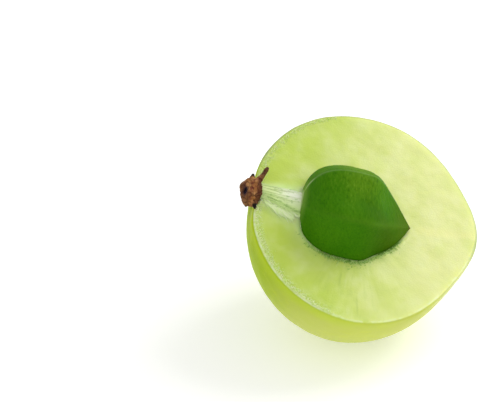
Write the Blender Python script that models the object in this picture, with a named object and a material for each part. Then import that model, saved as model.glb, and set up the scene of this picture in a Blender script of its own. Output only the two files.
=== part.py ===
"""Half of an indian gooseberry, cut lengthwise, with its whole stone standing in the cut face.

Every piece is modelled in the fruit's own frame and is a child of one empty. In that frame
X runs along the fruit's axis from the stalk to the apex, Z is square to the cut face and Y
crosses the face. The empty leans the half over, so that it lies on a small flat spot with
the world's origin on it, straight below the fruit's centre.
"""
import math

import bmesh
import bpy
from mathutils import Euler, Matrix, Vector

MM = 0.001

# Fruit: a slightly flattened ball, lopsided towards the apex, which has a faint point.
EQUATOR_RADIUS = 15.0 * MM
APEX_FLATTENING = 0.129
STALK_FLATTENING = 0.11
LOPSIDED = 0.041
APEX_POINT = 0.101
APEX_SPREAD = math.radians(25.5)
STALK_BASIN = 0.04
STALK_SPREAD = math.radians(11)
LOBES = 6
LOBE_HEIGHT = 0.12 * MM
FRUIT_SEGMENTS = 72
FRUIT_RINGS = 36

# Cut and rest. The cut passes a little above the fruit's axis.
CUT_HEIGHT = 0.58 * MM
RIM_ROUNDING = 0.35 * MM
RIM_STEPS = 2
REST_HEIGHT = 14.2 * MM
LEAN = math.radians(24.8)
APEX_DOWN = math.radians(14.4)
TURN = math.radians(4.3)

# Stone: its tip points at the apex.
STONE_TIP = (6.1 * MM, -0.72 * MM, 0.9 * MM)
STONE_TURN = math.radians(-3)
STONE_RIB_TURN = math.radians(12)
STONE_LENGTH = 13.6 * MM
STONE_RIB_RADIUS = 6.1 * MM
STONE_RIBS = 6
STONE_CORNER_POWER = 16
STONE_TIP_SLOPE = 1.14
STONE_BELLY = 0.555
STONE_FULLNESS = 3.0
STONE_BASE_FULLNESS = 2.6
STONE_SHOULDER_POWER = 14
STONE_BULGE = 0.05
STONE_BULGE_DIRECTION = math.radians(188)
STONE_SWELL = 0.72 * MM
STONE_SWELL_FROM_TIP = 2.0 * MM
STONE_SWELL_SPREAD = 1.7 * MM
STONE_SWELL_START = 0.5 * MM
STONE_SEGMENTS = 54
STONE_RINGS = 28

# Strand: a flattened bundle that widens to the stone.
STRAND_START = (-12.8 * MM, 0.65 * MM, 0.65 * MM)
STRAND_END = (-6.2 * MM, -0.6 * MM, 0.7 * MM)
STRAND_START_HALF = (1.05 * MM, 0.75 * MM)
STRAND_END_HALF = (2.3 * MM, 1.1 * MM)
STRAND_FIBRES = 9
STRAND_FIBRE_DEPTH = 0.06
STRAND_SEGMENTS = 36
STRAND_STEPS = 8

# Stalk cap: a squat woody knob, a little askew, with a scar where the stalk broke off.
CAP_CENTRE = (-13.35 * MM, 0.35 * MM, 0.85 * MM)
CAP_HALF_LENGTH = 1.2 * MM
CAP_HALF_WIDTH = 1.72 * MM
CAP_BOXINESS = 2.5
CAP_SIDES = 5
CAP_SIDE_DEPTH = 0.05
CAP_LUMP = 0.035
SCAR_DIRECTION = (-0.75, -0.35, 0.5)
SCAR_DEPTH = 0.5 * MM
SCAR_SPREAD = math.radians(24)
SCAR_RIM = 0.12 * MM
CAP_SEGMENTS = 32
CAP_RINGS = 18

# Dry sepals in millimetres: points from root to tip, each with the radius there.
SEPAL_SIDES = 8
LONG_SEPAL = (
    ((-13.2, 0.9, 1.3), 0.5),
    ((-12.75, 1.6, 1.55), 0.42),
    ((-12.45, 2.15, 1.62), 0.33),
    ((-12.15, 2.75, 1.7), 0.28),
    ((-11.95, 3.25, 1.72), 0.29),
    ((-11.75, 3.7, 1.7), 0.17),
)
SHORT_SEPALS = (
    (((-13.5, 1.35, 1.1), 0.5), ((-13.45, 2.15, 1.2), 0.36), ((-13.38, 2.75, 1.2), 0.18)),
    (((-13.0, -0.8, 0.9), 0.45), ((-12.9, -1.5, 1.1), 0.3), ((-12.8, -2.1, 1.05), 0.14)),
    (((-13.4, 0.1, -0.2), 0.45), ((-13.55, 0.0, -1.0), 0.3), ((-13.5, -0.1, -1.55), 0.15)),
    (((-13.5, 1.1, 0.2), 0.45), ((-13.55, 1.75, -0.45), 0.32), ((-13.5, 2.15, -1.0), 0.15)),
)

# Room left between two pieces that touch, and how near a point counts as lying on a cut.
CLEARANCE = 0.3 * MM
ON_PLANE = 0.001 * MM
SHARP_EDGE = math.radians(40)


def clear_scene():
    for old in list(bpy.data.objects):
        bpy.data.objects.remove(old)


def new_collection(name):
    collection = bpy.data.collections.new(name)
    bpy.context.scene.collection.children.link(collection)
    return collection


def make_material(name, colour, roughness):
    material = bpy.data.materials.new(name)
    material.use_nodes = True
    shader = material.node_tree.nodes["Principled BSDF"]
    shader.inputs["Base Color"].default_value = (*colour, 1.0)
    shader.inputs["Roughness"].default_value = roughness
    shader.inputs["Metallic"].default_value = 0.0
    return material


def make_object(name, bm, parent, collection, material=None):
    mesh = bpy.data.meshes.new(name)
    bm.to_mesh(mesh)
    bm.free()
    mesh.shade_smooth()
    mesh.set_sharp_from_angle(angle=SHARP_EDGE)
    if material:
        mesh.materials.append(material)
    made = bpy.data.objects.new(name, mesh)
    made.parent = parent
    collection.objects.link(made)
    return made


def make_cutter(name, bm, parent, collection):
    cutter = make_object(name, bm, parent, collection)
    cutter.hide_render = True
    cutter.display_type = "WIRE"
    return cutter


def cut_away(target, cutter):
    modifier = target.modifiers.new(f"cut by {cutter.name}", "BOOLEAN")
    modifier.object = cutter
    modifier.operation = "DIFFERENCE"
    modifier.solver = "EXACT"


def swell(bm, margin):
    """Move every point outwards along its normal, for the room that a neighbour leaves."""
    bm.normal_update()
    moves = [(vert, vert.normal * margin) for vert in bm.verts]
    for vert, move in moves:
        vert.co += move


def unit_ball(segments, rings, pole="Z"):
    """A ball of radius one whose rings run round the given axis, Z or X."""
    bm = bmesh.new()
    turn = Matrix.Rotation(math.pi / 2 if pole == "X" else 0.0, 4, "Y")
    bmesh.ops.create_uvsphere(bm, u_segments=segments, v_segments=rings, radius=1.0, matrix=turn)
    return bm


def polar(direction):
    """The angle from +X and the angle round X, counted from +Y towards +Z."""
    from_apex = math.acos(max(-1.0, min(1.0, direction.x)))
    round_axis = math.atan2(direction.z, direction.y)
    return from_apex, round_axis


def bump(angle, spread):
    return math.exp(-((angle / spread) ** 2))


# Fruit
def fruit_radius(from_apex, round_axis):
    along = math.cos(from_apex)
    flattening = APEX_FLATTENING if along > 0 else STALK_FLATTENING
    shape = 1 - flattening * along**2
    shape += LOPSIDED * max(along, 0.0) * math.sin(from_apex) * math.cos(round_axis)
    shape += APEX_POINT * bump(from_apex, APEX_SPREAD)
    shape -= STALK_BASIN * bump(math.pi - from_apex, STALK_SPREAD)
    lobe = LOBE_HEIGHT * math.cos(LOBES * round_axis) * math.sin(from_apex) ** 2
    return EQUATOR_RADIUS * shape + lobe


def slice_off(bm, point, normal):
    """Cut away what lies beyond a plane, close the cut flat and return its face."""
    everything = bm.verts[:] + bm.edges[:] + bm.faces[:]
    bmesh.ops.bisect_plane(
        bm, geom=everything, dist=ON_PLANE, plane_co=point, plane_no=normal, clear_outer=True
    )
    rim = [edge for edge in bm.edges if edge.is_boundary]
    closing = bmesh.ops.contextual_create(bm, geom=rim)["faces"][0]
    closing.normal_update()
    if closing.normal.dot(normal) < 0:
        closing.normal_flip()
    return closing


def fruit_half(down):
    """The ball is cut along its middle ring, and the rim is then raised to the height of the cut."""
    bm = unit_ball(FRUIT_SEGMENTS, FRUIT_RINGS)
    cut_face = slice_off(bm, Vector((0, 0, 0)), Vector((0, 0, 1)))
    for vert in bm.verts:
        direction = vert.co.normalized()
        vert.co = direction * fruit_radius(*polar(direction))
    for vert in cut_face.verts:
        vert.co.z = CUT_HEIGHT
    bmesh.ops.bevel(
        bm,
        geom=cut_face.edges[:],
        offset=RIM_ROUNDING,
        offset_type="OFFSET",
        segments=RIM_STEPS,
        profile=0.5,
        affect="EDGES",
        material=-1,
    )
    slice_off(bm, down * REST_HEIGHT, down)
    return bm


# Stone
def ribbed(round_axis):
    """How far a cross-section with rounded corners reaches, as a share of its reach at a rib."""
    half_side = math.pi / STONE_RIBS
    sides = [half_side + 2 * half_side * side for side in range(STONE_RIBS)]
    pull = sum(max(0.0, math.cos(round_axis - side)) ** STONE_CORNER_POWER for side in sides)
    pull_at_rib = 2 * math.cos(half_side) ** STONE_CORNER_POWER
    return (pull_at_rib / pull) ** (1 / STONE_CORNER_POWER)


def bulged(round_axis):
    """One side of the stone is a little fuller than the rest."""
    return 1 + STONE_BULGE * max(0.0, math.cos(round_axis - STONE_BULGE_DIRECTION))


def swollen(from_tip, round_axis):
    """How much further that side stands out a little way behind the tip."""
    aside = ((1 + math.cos(round_axis - STONE_BULGE_DIRECTION)) / 2) ** 2
    along = math.exp(-(((from_tip - STONE_SWELL_FROM_TIP) / STONE_SWELL_SPREAD) ** 2))
    return STONE_SWELL * aside * along * min(1.0, from_tip / STONE_SWELL_START)


def stone_profile(from_tip):
    """The reach of a rib: a straight cone from the tip that turns over a shoulder into a blunt body."""
    belly = STONE_BELLY * STONE_LENGTH
    at_tip = from_tip < belly
    end = belly if at_tip else STONE_LENGTH - belly
    fullness = STONE_FULLNESS if at_tip else STONE_BASE_FULLNESS
    offset = min(1.0, abs(from_tip - belly) / end)
    body = STONE_RIB_RADIUS * (1 - offset**fullness) ** (1 / fullness)
    cone = STONE_TIP_SLOPE * from_tip
    if body * cone == 0:
        return 0.0
    power = STONE_SHOULDER_POWER
    return (cone**-power + body**-power) ** (-1 / power)


def stone_shape(margin=0.0):
    """The stone with its tip at the origin and its body along -X."""
    bm = unit_ball(STONE_SEGMENTS, STONE_RINGS, "X")
    for vert in bm.verts:
        from_tip_angle, round_axis = polar(vert.co.normalized())
        from_tip = STONE_LENGTH * (1 - math.cos(from_tip_angle)) / 2
        reach = stone_profile(from_tip) * ribbed(round_axis) * bulged(round_axis)
        reach += swollen(from_tip, round_axis)
        vert.co = (-from_tip, reach * math.cos(round_axis), reach * math.sin(round_axis))
    if margin:
        swell(bm, margin)
    return bm


def place_stone(stone):
    stone.location = STONE_TIP
    stone.rotation_euler = (STONE_RIB_TURN, 0, STONE_TURN)


# Strand
def strand_shape(margin=0.0):
    """A tapering bundle of fibres along X, between the cap and the stone."""
    bm = bmesh.new()
    bmesh.ops.create_cone(
        bm,
        cap_ends=True,
        segments=STRAND_SEGMENTS,
        radius1=1.0,
        radius2=1.0,
        depth=1.0,
        matrix=Matrix.Rotation(math.pi / 2, 4, "Y"),
    )
    lengthwise = [edge for edge in bm.edges if abs(edge.verts[0].co.x - edge.verts[1].co.x) > 0.5]
    bmesh.ops.subdivide_edges(bm, edges=lengthwise, cuts=STRAND_STEPS, use_grid_fill=True)
    for vert in bm.verts:
        share = vert.co.x + 0.5
        around = math.atan2(vert.co.z, vert.co.y)
        fibre = 1 + STRAND_FIBRE_DEPTH * math.cos(STRAND_FIBRES * around)
        half = Vector(STRAND_START_HALF).lerp(Vector(STRAND_END_HALF), share) * fibre
        middle = Vector(STRAND_START).lerp(Vector(STRAND_END), share)
        vert.co = middle + Vector((0, half.x * math.cos(around), half.y * math.sin(around)))
    if margin:
        swell(bm, margin)
    return bm


# Stalk cap
def knob_shape(margin=0.0, plain=False):
    """The squat knob round its own centre, lumpy, with the scar sunk in its outer end."""
    scar = Vector(SCAR_DIRECTION).normalized()
    bm = unit_ball(CAP_SEGMENTS, CAP_RINGS, "X")
    for vert in bm.verts:
        direction = vert.co.normalized()
        from_inner_end, round_axis = polar(direction)
        along = abs(direction.x) / CAP_HALF_LENGTH
        across = math.hypot(direction.y, direction.z) / CAP_HALF_WIDTH
        reach = (along**CAP_BOXINESS + across**CAP_BOXINESS) ** (-1 / CAP_BOXINESS)
        if not plain:
            lump = math.sin(3 * round_axis + 4 * from_inner_end) * math.sin(5 * from_inner_end)
            corner = math.cos(CAP_SIDES * round_axis + 0.6) * math.sin(from_inner_end)
            reach *= 1 + CAP_LUMP * lump + CAP_SIDE_DEPTH * corner
            off_scar = direction.angle(scar)
            reach += SCAR_RIM * bump(off_scar - 1.6 * SCAR_SPREAD, 0.6 * SCAR_SPREAD)
            reach -= SCAR_DEPTH * bump(off_scar, SCAR_SPREAD)
        vert.co = direction * (reach + margin)
    return bm


def sepal_shape(path):
    """A dry sepal: a round section drawn out along its path, narrowing as it goes."""
    points = [(Vector(point) * MM - Vector(CAP_CENTRE), radius * MM) for point, radius in path]
    (start, start_radius), (after, _) = points[0], points[1]
    bm = bmesh.new()
    facing = (after - start).to_track_quat("Z", "Y").to_matrix().to_4x4()
    bmesh.ops.create_circle(
        bm,
        cap_ends=True,
        segments=SEPAL_SIDES,
        radius=start_radius,
        matrix=Matrix.Translation(start) @ facing,
    )
    end_face = bm.faces[:][0]
    for (here, radius), (there, next_radius) in zip(points, points[1:]):
        drawn = [end_face, *end_face.edges, *end_face.verts]
        grown = bmesh.ops.extrude_face_region(bm, geom=drawn)["geom"]
        end_face = next(item for item in grown if isinstance(item, bmesh.types.BMFace))
        ring = end_face.verts[:]
        bmesh.ops.translate(bm, verts=ring, vec=there - here)
        shrink = next_radius / radius
        centre = Matrix.Translation(-there)
        bmesh.ops.scale(bm, verts=ring, vec=(shrink, shrink, shrink), space=centre)
    return bm


def join_sepals(cap, parent, parts):
    """Join the sepals to the knob by one union, applied, and drop the loose sepals."""
    sepals = bpy.data.collections.new("sepals")
    bpy.context.scene.collection.children.link(sepals)
    for number, path in enumerate((LONG_SEPAL, *SHORT_SEPALS)):
        sepal = make_object(f"sepal_{number}", sepal_shape(path), parent, sepals)
        sepal.location = CAP_CENTRE
    union = cap.modifiers.new("join sepals", "BOOLEAN")
    union.operand_type = "COLLECTION"
    union.collection = sepals
    union.operation = "UNION"
    union.solver = "EXACT"
    bpy.context.view_layer.update()
    evaluated = cap.evaluated_get(bpy.context.evaluated_depsgraph_get())
    joined = bpy.data.meshes.new_from_object(evaluated)
    cap.modifiers.remove(union)
    cap.data = joined
    for sepal in list(sepals.objects):
        bpy.data.objects.remove(sepal)
    bpy.data.collections.remove(sepals)


def main():
    clear_scene()
    parts = new_collection("indian_gooseberry_half")
    cutters = new_collection("cutters")

    holder = bpy.data.objects.new("fruit_frame", None)
    holder.rotation_euler = Euler((LEAN, APEX_DOWN, TURN), "XYZ")
    holder.location = (0, 0, REST_HEIGHT)
    parts.objects.link(holder)
    down = holder.rotation_euler.to_matrix().transposed() @ Vector((0, 0, -1))

    flesh_green = make_material("flesh and skin", (0.62, 0.72, 0.22), 0.35)
    stone_green = make_material("stone", (0.05, 0.17, 0.01), 0.4)
    strand_pale = make_material("strand", (0.6, 0.72, 0.4), 0.45)
    cap_brown = make_material("stalk cap", (0.22, 0.1, 0.03), 0.7)

    flesh = make_object("flesh_half", fruit_half(down), holder, parts, flesh_green)

    stone = make_object("stone", stone_shape(), holder, parts, stone_green)
    place_stone(stone)
    stone_bed = make_cutter("stone_bed", stone_shape(CLEARANCE), holder, cutters)
    place_stone(stone_bed)

    knob = make_object("stalk_cap", knob_shape(), holder, parts, cap_brown)
    knob.location = CAP_CENTRE
    cap_seat = make_cutter("cap_seat", knob_shape(CLEARANCE, plain=True), holder, cutters)
    cap_seat.location = CAP_CENTRE
    join_sepals(knob, holder, parts)

    strand = make_object("fibre_strand", strand_shape(), holder, parts, strand_pale)
    strand_groove = make_cutter("strand_groove", strand_shape(CLEARANCE), holder, cutters)

    for cutter in (stone_bed, strand_groove, cap_seat):
        cut_away(flesh, cutter)
    for cutter in (stone_bed, cap_seat):
        cut_away(strand, cutter)
    for carved in (flesh, strand):
        carved.modifiers.new("even shading", "WEIGHTED_NORMAL")


main()
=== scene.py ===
"""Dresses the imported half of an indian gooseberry: skin, cut flesh, stone, strand and stalk cap.

Shapes are worked out in millimetres in the fruit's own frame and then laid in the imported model's.
In the fruit's frame X runs along the fruit's axis from the stalk to the apex, Z is square to the
cut face and Y crosses the face. The fruit's centre is at zero.
"""
import math
import random

import bmesh
import bpy
import numpy as np
from mathutils import Euler, Matrix, Vector, noise


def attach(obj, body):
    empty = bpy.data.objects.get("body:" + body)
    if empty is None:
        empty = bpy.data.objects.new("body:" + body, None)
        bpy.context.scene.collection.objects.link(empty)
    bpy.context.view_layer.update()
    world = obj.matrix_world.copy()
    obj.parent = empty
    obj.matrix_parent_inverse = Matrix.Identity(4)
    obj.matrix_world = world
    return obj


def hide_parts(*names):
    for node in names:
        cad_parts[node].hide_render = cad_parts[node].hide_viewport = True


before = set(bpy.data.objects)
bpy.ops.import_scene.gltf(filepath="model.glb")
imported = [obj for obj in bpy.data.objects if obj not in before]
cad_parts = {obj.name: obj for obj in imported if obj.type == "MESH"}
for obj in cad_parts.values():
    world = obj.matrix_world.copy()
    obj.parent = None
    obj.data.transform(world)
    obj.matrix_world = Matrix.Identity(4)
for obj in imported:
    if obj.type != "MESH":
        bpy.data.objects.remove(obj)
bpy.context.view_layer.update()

MM = 0.001
MERGE_DISTANCE = 1e-5

# Fruit: a slightly flattened ball, lopsided towards the apex, which has a faint point.
EQUATOR_RADIUS = 15.0
APEX_FLATTENING = 0.129
STALK_FLATTENING = 0.11
LOPSIDED = 0.041
APEX_POINT = 0.101
APEX_SPREAD = math.radians(25.5)
STALK_BASIN = 0.04
STALK_SPREAD = math.radians(11)
LOBES = 6
LOBE_HEIGHT = 0.12

# Cut and rest.
CUT_HEIGHT = 0.58
RIM_ROUNDING = 0.35
REST_HEIGHT = 14.2
LEAN = math.radians(24.8)
APEX_DOWN = math.radians(14.4)
TURN = math.radians(4.3)

# Stone.
STONE_TIP = (6.1, -0.72, 0.9)
STONE_TURN = math.radians(-3)
STONE_RIB_TURN = math.radians(12)
STONE_LENGTH = 13.6
STONE_RIB_RADIUS = 6.1
STONE_RIBS = 6
STONE_CORNER_POWER = 16
STONE_TIP_SLOPE = 1.14
STONE_BELLY = 0.555
STONE_FULLNESS = 3.0
STONE_BASE_FULLNESS = 2.6
STONE_SHOULDER_POWER = 14
STONE_BULGE = 0.05
STONE_BULGE_DIRECTION = math.radians(188)
STONE_SWELL = 0.72
STONE_SWELL_FROM_TIP = 2.0
STONE_SWELL_SPREAD = 1.7
STONE_SWELL_START = 0.5

# Strand.
STRAND_START = (-12.8, 0.65, 0.65)
STRAND_END = (-6.2, -0.6, 0.7)
STRAND_START_HALF = (1.05, 0.75)
STRAND_END_HALF = (2.3, 1.1)
STRAND_RUN = STRAND_END[0] - STRAND_START[0]

# Stalk cap.
CAP_CENTRE = (-13.35, 0.35, 0.85)
CAP_HALF_LENGTH = 1.2
CAP_HALF_WIDTH = 1.72
CAP_BOXINESS = 2.5
CAP_SIDES = 5
CAP_SIDE_DEPTH = 0.05
CAP_LUMP = 0.035
SCAR_DIRECTION = (-0.75, -0.35, 0.5)
SCAR_DEPTH = 0.5
SCAR_SPREAD = math.radians(24)
SCAR_RIM = 0.12

# Dry sepals: places from root to tip, each as x, y, z and the radius there.
SEPAL_SIDES = 12
SEPALS = (
    (
        (-13.2, 0.9, 1.3, 0.5),
        (-12.75, 1.6, 1.55, 0.42),
        (-12.45, 2.15, 1.62, 0.33),
        (-12.15, 2.75, 1.7, 0.28),
        (-11.95, 3.25, 1.72, 0.29),
        (-11.75, 3.7, 1.7, 0.17),
    ),
    ((-13.5, 1.35, 1.1, 0.5), (-13.45, 2.15, 1.2, 0.36), (-13.38, 2.75, 1.2, 0.18)),
    ((-13.0, -0.8, 0.9, 0.45), (-12.9, -1.5, 1.1, 0.3), (-12.8, -2.1, 1.05, 0.14)),
    ((-13.4, 0.1, -0.2, 0.45), (-13.55, 0.0, -1.0, 0.3), (-13.5, -0.1, -1.55, 0.15)),
    ((-13.5, 1.1, 0.2, 0.45), (-13.55, 1.75, -0.45, 0.32), (-13.5, 2.15, -1.0, 0.15)),
)

FRUIT_TURN = np.array(Euler((LEAN, APEX_DOWN, TURN), "XYZ").to_matrix())
STONE_FRAME = np.array(Euler((STONE_RIB_TURN, 0, STONE_TURN), "XYZ").to_matrix())
DOWN = -FRUIT_TURN[2]


# Small tools for points and meshes
def lay(points):
    """From the fruit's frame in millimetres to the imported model's in metres."""
    return (np.asarray(points) @ FRUIT_TURN.T + (0, 0, REST_HEIGHT)) * MM


def points_of(bm):
    return np.array([vert.co[:] for vert in bm.verts])


def move_to(bm, points):
    for vert, point in zip(bm.verts, points):
        vert.co = point


def outward(bm):
    bm.normal_update()
    return np.array([vert.normal[:] for vert in bm.verts])


def lengths(vectors):
    return np.linalg.norm(vectors, axis=1)


def fade(values, start, end):
    """Zero at start, one at end and smooth between, in either direction."""
    share = np.clip((np.asarray(values) - start) / (end - start), 0, 1)
    return share * share * (3 - 2 * share)


def bump(values, spread):
    return np.exp(-((np.asarray(values) / spread) ** 2))


def in_noise(points, size, seed):
    """Where points lie in the noise, which has another patch for each seed."""
    apart = Vector((seed * 31.7, seed * -17.3, seed * 11.9))
    return [Vector(point) / size + apart for point in points]


def lumps(points, size, layers, seed):
    """Smooth noise from about -1 to 1, with lumps of the given size."""
    return np.array([noise.fractal(at, 1.0, 2.0, layers) for at in in_noise(points, size, seed)])


def cells(points, size, seed):
    """Zero on the borders of a pattern of cells and rising towards each cell's middle."""
    found = [noise.voronoi(at)[0] for at in in_noise(points, size, seed)]
    return np.array([distances[1] - distances[0] for distances in found])


def flat_headings(turns):
    return np.stack([np.cos(turns), np.sin(turns), np.zeros(len(turns))], 1)


def meet(starts, headings, inside, longest, halvings=32):
    """How far along each heading the surface of a closed shape lies."""
    near = np.zeros(len(headings))
    far = np.full(len(headings), float(longest))
    for _ in range(halvings):
        middle = (near + far) / 2
        within = inside(starts + headings * middle[:, None])
        near = np.where(within, middle, near)
        far = np.where(within, far, middle)
    return near


def unit_ball(segments, rings, pole="Z"):
    """A ball of radius one, rolled from a sheet whose edges are merged into a seam and two poles."""
    bm = bmesh.new()
    bmesh.ops.create_grid(bm, x_segments=segments, y_segments=rings, size=1.0)
    sheet = points_of(bm)
    turn = np.pi * sheet[:, 0]
    tilt = np.pi * (1 - sheet[:, 1]) / 2
    ball = np.stack([np.sin(tilt) * np.cos(turn), np.sin(tilt) * np.sin(turn), np.cos(tilt)], 1)
    if pole == "X":
        ball = ball[:, [2, 0, 1]]
    move_to(bm, ball)
    bmesh.ops.remove_doubles(bm, verts=bm.verts, dist=MERGE_DISTANCE)
    bmesh.ops.recalc_face_normals(bm, faces=bm.faces)
    return bm


def mesh_of(name, bm):
    mesh = bpy.data.meshes.new(name)
    bm.to_mesh(mesh)
    bm.free()
    return mesh


def put_in_scene(name, data):
    made = bpy.data.objects.new(name, data)
    bpy.context.scene.collection.objects.link(made)
    return made


def finish_piece(name, bm, material, replaced=(), values=None):
    """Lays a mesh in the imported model's frame and makes it a piece of the object."""
    move_to(bm, lay(points_of(bm)))
    mesh = mesh_of(name, bm)
    mesh.shade_smooth()
    for title, numbers in (values or {}).items():
        attribute = mesh.attributes.new(title, "FLOAT", "POINT")
        attribute.data.foreach_set("value", np.asarray(numbers, np.float32))
    mesh.materials.append(material)
    piece = put_in_scene(name, mesh)
    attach(piece, "root")
    if replaced:
        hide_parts(*replaced)


# Shader nodes
class Wire:
    """A shader socket that can be written in sums, as in mask * 0.5 + grain."""

    def __init__(self, look, socket):
        self.look = look
        self.socket = socket

    def __add__(self, other):
        return self.look.maths("ADD", self, other)

    __radd__ = __add__

    def __sub__(self, other):
        return self.look.maths("SUBTRACT", self, other)

    def __rsub__(self, other):
        return self.look.maths("SUBTRACT", other, self)

    def __mul__(self, other):
        return self.look.maths("MULTIPLY", self, other)

    __rmul__ = __mul__

    def __pow__(self, other):
        return self.look.maths("POWER", self, other)

    def __abs__(self):
        return self.look.maths("ABSOLUTE", self)

    def fade(self, start, end):
        """What fade does with numbers, in nodes."""
        settings = {"interpolation_type": "SMOOTHSTEP"}
        low, high = sorted((start, end))
        share = {"Value": self, "From Min": low, "From Max": high}
        risen = self.look.node("ShaderNodeMapRange", settings, share)
        return risen if start < end else 1 - risen


class Look:
    """A material under construction, with its nodes."""

    def __init__(self, name, **shader_values):
        self.material = bpy.data.materials.new(name)
        self.material.use_nodes = True
        self.tree = self.material.node_tree
        self.shader = self.tree.nodes["Principled BSDF"]
        for title, value in shader_values.items():
            self.shader.inputs[title.replace("_", " ")].default_value = value

    def node(self, kind, settings=None, sockets=None, out=0):
        """Adds a node, sets it, fills or links its sockets and returns one of its outputs."""
        made = self.tree.nodes.new(kind)
        for title, value in (settings or {}).items():
            setattr(made, title, value)
        for title, value in (sockets or {}).items():
            self.fill(made.inputs[title], value)
        return Wire(self, made.outputs[out])

    def fill(self, socket, value):
        if isinstance(value, Wire):
            self.tree.links.new(value.socket, socket)
        elif socket.type == "RGBA":
            socket.default_value = (*value, 1.0)
        else:
            socket.default_value = value

    def give(self, title, value):
        """Feeds a socket of the shader itself."""
        self.fill(self.shader.inputs[title], value)

    def finish(self, colour, roughness, normal=None):
        """Feeds what changes over the surface and returns the material."""
        self.give("Base Color", colour)
        self.give("Roughness", roughness)
        if normal:
            self.give("Normal", normal)
        return self.material

    def maths(self, operation, *values):
        return self.node("ShaderNodeMath", {"operation": operation}, dict(enumerate(values)))

    def attribute(self, title):
        return self.node("ShaderNodeAttribute", {"attribute_name": title}, out="Fac")

    def place(self, scale=(1, 1, 1)):
        """Where the surface lies in the fruit's frame, in millimetres times the scale."""
        coordinates = self.node("ShaderNodeTexCoord", out="Object")
        back = {
            "Vector": coordinates,
            "Location": (0, 0, REST_HEIGHT * MM),
            "Rotation": (LEAN, APEX_DOWN, TURN),
            "Scale": tuple(MM / share for share in scale),
        }
        return self.node("ShaderNodeMapping", {"vector_type": "TEXTURE"}, back)

    def axes(self):
        """The place's three parts."""
        first = self.node("ShaderNodeSeparateXYZ", sockets={"Vector": self.place()})
        return [Wire(self, output) for output in first.socket.node.outputs]

    def grain(self, scale, detail=3.0, roughness=0.55, distortion=0.0, at=None):
        """Soft noise from 0 to 1, in the fruit's frame if not told where."""
        sockets = {
            "Vector": at or self.place(),
            "Scale": scale,
            "Detail": detail,
            "Roughness": roughness,
            "Distortion": distortion,
        }
        return self.node("ShaderNodeTexNoise", sockets=sockets)

    def blend(self, share, first, second):
        return self.node("ShaderNodeMix", {"data_type": "RGBA"}, {0: share, 6: first, 7: second}, out=2)

    def paint(self, ground, *coats):
        """Lays coats of colour over a ground, each given as its share and its colour."""
        for share, colour in coats:
            ground = self.blend(share, ground, colour)
        return ground

    def relief(self, height, depth, under=None):
        """A bump of the given depth in metres for a height from 0 to 1."""
        sockets = {"Distance": depth, "Height": height}
        if under:
            sockets["Normal"] = under
        return self.node("ShaderNodeBump", sockets=sockets)


# Shapes of the fruit and the stone
def fruit_reach(headings):
    """How far the skin lies from the fruit's centre in each direction."""
    along = np.clip(headings[:, 0], -1, 1)
    from_apex = np.arccos(along)
    round_axis = np.arctan2(headings[:, 2], headings[:, 1])
    flattening = np.where(along > 0, APEX_FLATTENING, STALK_FLATTENING)
    shape = 1 - flattening * along**2 + LOPSIDED * np.maximum(along, 0) * headings[:, 1]
    shape += APEX_POINT * bump(from_apex, APEX_SPREAD)
    shape -= STALK_BASIN * bump(np.pi - from_apex, STALK_SPREAD)
    lobe = LOBE_HEIGHT * np.cos(LOBES * round_axis) * (1 - along**2)
    return EQUATOR_RADIUS * shape + lobe


def in_fruit(points):
    away = lengths(points)
    return away < fruit_reach(points / np.maximum(away, 1e-9)[:, None])


def ribbed(round_axis):
    """How far a cross-section with rounded corners reaches, as a share of its reach at a rib."""
    half_side = math.pi / STONE_RIBS
    pull = np.zeros(len(round_axis))
    for side in range(STONE_RIBS):
        middle = half_side + 2 * half_side * side
        pull += np.maximum(0.0, np.cos(round_axis - middle)) ** STONE_CORNER_POWER
    pull_at_rib = 2 * math.cos(half_side) ** STONE_CORNER_POWER
    return (pull_at_rib / pull) ** (1 / STONE_CORNER_POWER)


def stone_profile(from_tip):
    """The reach of a rib: a straight cone from the tip that turns over a shoulder into a blunt body."""
    belly = STONE_BELLY * STONE_LENGTH
    end = np.where(from_tip < belly, belly, STONE_LENGTH - belly)
    fullness = np.where(from_tip < belly, STONE_FULLNESS, STONE_BASE_FULLNESS)
    offset = np.clip(np.abs(from_tip - belly) / end, 0, 1)
    body = STONE_RIB_RADIUS * (1 - offset**fullness) ** (1 / fullness)
    cone = STONE_TIP_SLOPE * np.maximum(from_tip, 0)
    power = STONE_SHOULDER_POWER
    least = 1e-6
    return (np.maximum(cone, least) ** -power + np.maximum(body, least) ** -power) ** (-1 / power)


def stone_reach(from_tip, round_axis):
    """One side of the stone is a little fuller than the rest, most of all just behind the tip."""
    toward_side = np.cos(round_axis - STONE_BULGE_DIRECTION)
    bulged = 1 + STONE_BULGE * np.maximum(0, toward_side)
    swollen = STONE_SWELL * ((1 + toward_side) / 2) ** 2
    swollen *= bump(from_tip - STONE_SWELL_FROM_TIP, STONE_SWELL_SPREAD)
    swollen *= np.clip(from_tip / STONE_SWELL_START, 0, 1)
    return stone_profile(from_tip) * ribbed(round_axis) * bulged + swollen


def to_stone(points):
    return (np.asarray(points) - STONE_TIP) @ STONE_FRAME


def from_stone(points):
    return np.asarray(points) @ STONE_FRAME.T + STONE_TIP


def in_stone(points, gap):
    own = to_stone(points)
    reach = stone_reach(-own[:, 0], np.arctan2(own[:, 2], own[:, 1]))
    return np.hypot(own[:, 1], own[:, 2]) < np.where(reach > 0.001, reach + gap, 0)


# Flesh and skin
STRAND_FILLET = 0.42
GROOVE_WIDTH = 0.85
CAP_CLEARANCE = 0.02
FLESH_GRID = (384, 234)
BED_SHARE = 0.06
FACE_SHARE = 0.36
RIM_SHARE = 0.05
SKIN_START = BED_SHARE + FACE_SHARE + RIM_SHARE
BED_OVERLAP = 0.03
FACE_MIDDLE = from_stone([(-0.52 * STONE_LENGTH, 0, 0)])[0]
FACE_START = np.array([FACE_MIDDLE[0], FACE_MIDDLE[1], CUT_HEIGHT])
HEADING_STEPS = 1441

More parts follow.
